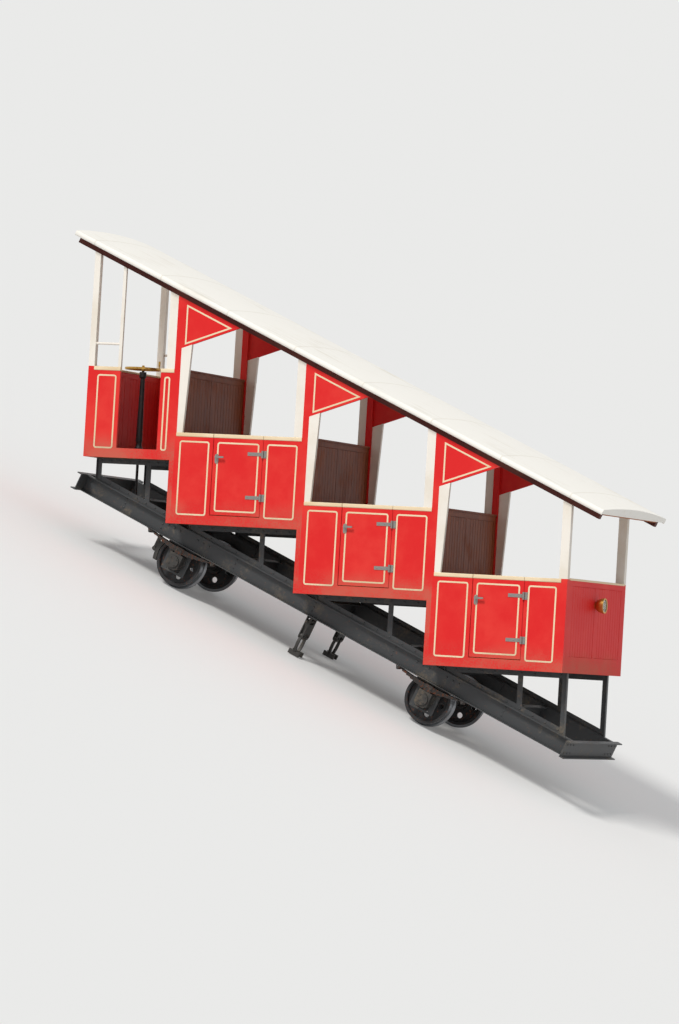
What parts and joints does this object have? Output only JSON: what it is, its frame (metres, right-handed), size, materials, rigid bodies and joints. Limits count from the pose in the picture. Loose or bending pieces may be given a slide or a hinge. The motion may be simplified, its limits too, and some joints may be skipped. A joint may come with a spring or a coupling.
{
  "type": "funicular car",
  "caption": "Stepped open-sided funicular car with a straight roof parallel to its rails, hinged side half-doors, facing benches, an end platform and turning wheelsets.",
  "frame": {"origin": "middle of the car's box, on the plane of the wheel flanges' tips", "axes": "+X along the rails, downhill; +Y to the left of a passenger facing downhill; +Z square to the rail plane. The level floors lean uphill by the slope of 24 degrees."},
  "size_m": [7.898, 2.2, 3.2115],
  "materials": {
    "frame_paint": "satin black-brown frame paint",
    "frame_timber": "oiled oak",
    "floor_boards": "worn boards",
    "varnished_wood": "varnished",
    "red_paint": "gloss coach paint",
    "white_paint": "gloss coach paint",
    "cream_paint": "gloss coach paint",
    "roof_paint": "painted canvas over boards",
    "bench_iron": "painted iron",
    "brass": "polished by hands",
    "lamp_metal": "gloss",
    "lamp_glass": "clear",
    "cast_steel": "oily",
    "spring_steel": "oily",
    "wheel_steel": "rolled bright tread",
    "hinge_steel": "plated"
  },
  "bodies": {
    "root": {"solebars": "frame_paint", "cross_members": "frame_paint", "headstocks": "frame_paint", "trestles": "frame_paint", "floor_frames": "frame_timber", "floor_boards": "floor_boards", "bulkheads": "varnished_wood", "end_walls": "red_paint", "corner_posts": "red_paint", "window_posts": "white_paint", "belt_rails": "cream_paint", "side_panels": "red_paint", "gussets": "red_paint", "cant_rails": "white_paint", "roof": "roof_paint", "roof_ribs": "varnished_wood", "bench_seats": "varnished_wood", "bench_backs": "varnished_wood", "bench_frames": "bench_iron", "platform_rails": "white_paint", "brake_column": "bench_iron", "brake_handwheel": "brass", "brake_rigging": "cast_steel", "lamps": "lamp_metal", "lamp_glasses": "lamp_glass", "rail_brakes": "cast_steel", "haul_clevis": "cast_steel", "axle_guards": "frame_paint", "axle_boxes": "cast_steel", "leaf_springs": "spring_steel", "spring_hangers": "spring_steel", "door_hinges": "hinge_steel"},
    "wheelset_uphill": {"axle_uphill": "wheel_steel", "wheels_uphill": "wheel_steel"},
    "wheelset_downhill": {"axle_downhill": "wheel_steel", "wheels_downhill": "wheel_steel"},
    "door_1_left": {"door_leaf_1_left": "red_paint", "door_latch_1_left": "hinge_steel"},
    "door_1_right": {"door_leaf_1_right": "red_paint", "door_latch_1_right": "hinge_steel"},
    "door_2_left": {"door_leaf_2_left": "red_paint", "door_latch_2_left": "hinge_steel"},
    "door_2_right": {"door_leaf_2_right": "red_paint", "door_latch_2_right": "hinge_steel"},
    "door_3_left": {"door_leaf_3_left": "red_paint", "door_latch_3_left": "hinge_steel"},
    "door_3_right": {"door_leaf_3_right": "red_paint", "door_latch_3_right": "hinge_steel"}
  },
  "joints": [
    {"name": "wheelset_uphill_turn", "type": "hinge", "parent": "root", "child": "wheelset_uphill", "pos_m": [-1.26998, 0, 0.305], "axis": [0, 1, 0], "continuous": true},
    {"name": "wheelset_downhill_turn", "type": "hinge", "parent": "root", "child": "wheelset_downhill", "pos_m": [2.13002, 0, 0.305], "axis": [0, 1, 0], "continuous": true},
    {"name": "door_1_left_swing", "type": "hinge", "parent": "root", "child": "door_1_left", "pos_m": [-0.64989, 1.014, 1.66915], "axis": [0.4067, 0, -0.9135], "range_deg": [0, 95]},
    {"name": "door_1_right_swing", "type": "hinge", "parent": "root", "child": "door_1_right", "pos_m": [-0.64989, -1.014, 1.66915], "axis": [-0.4067, 0, 0.9135], "range_deg": [0, 95]},
    {"name": "door_2_left_swing", "type": "hinge", "parent": "root", "child": "door_2_left", "pos_m": [1.10153, 1.014, 1.66915], "axis": [0.4067, 0, -0.9135], "range_deg": [0, 95]},
    {"name": "door_2_right_swing", "type": "hinge", "parent": "root", "child": "door_2_right", "pos_m": [1.10153, -1.014, 1.66915], "axis": [-0.4067, 0, 0.9135], "range_deg": [0, 95]},
    {"name": "door_3_left_swing", "type": "hinge", "parent": "root", "child": "door_3_left", "pos_m": [2.85295, 1.014, 1.66915], "axis": [0.4067, 0, -0.9135], "range_deg": [0, 95]},
    {"name": "door_3_right_swing", "type": "hinge", "parent": "root", "child": "door_3_right", "pos_m": [2.85295, -1.014, 1.66915], "axis": [-0.4067, 0, 0.9135], "range_deg": [0, 95]}
  ]
}
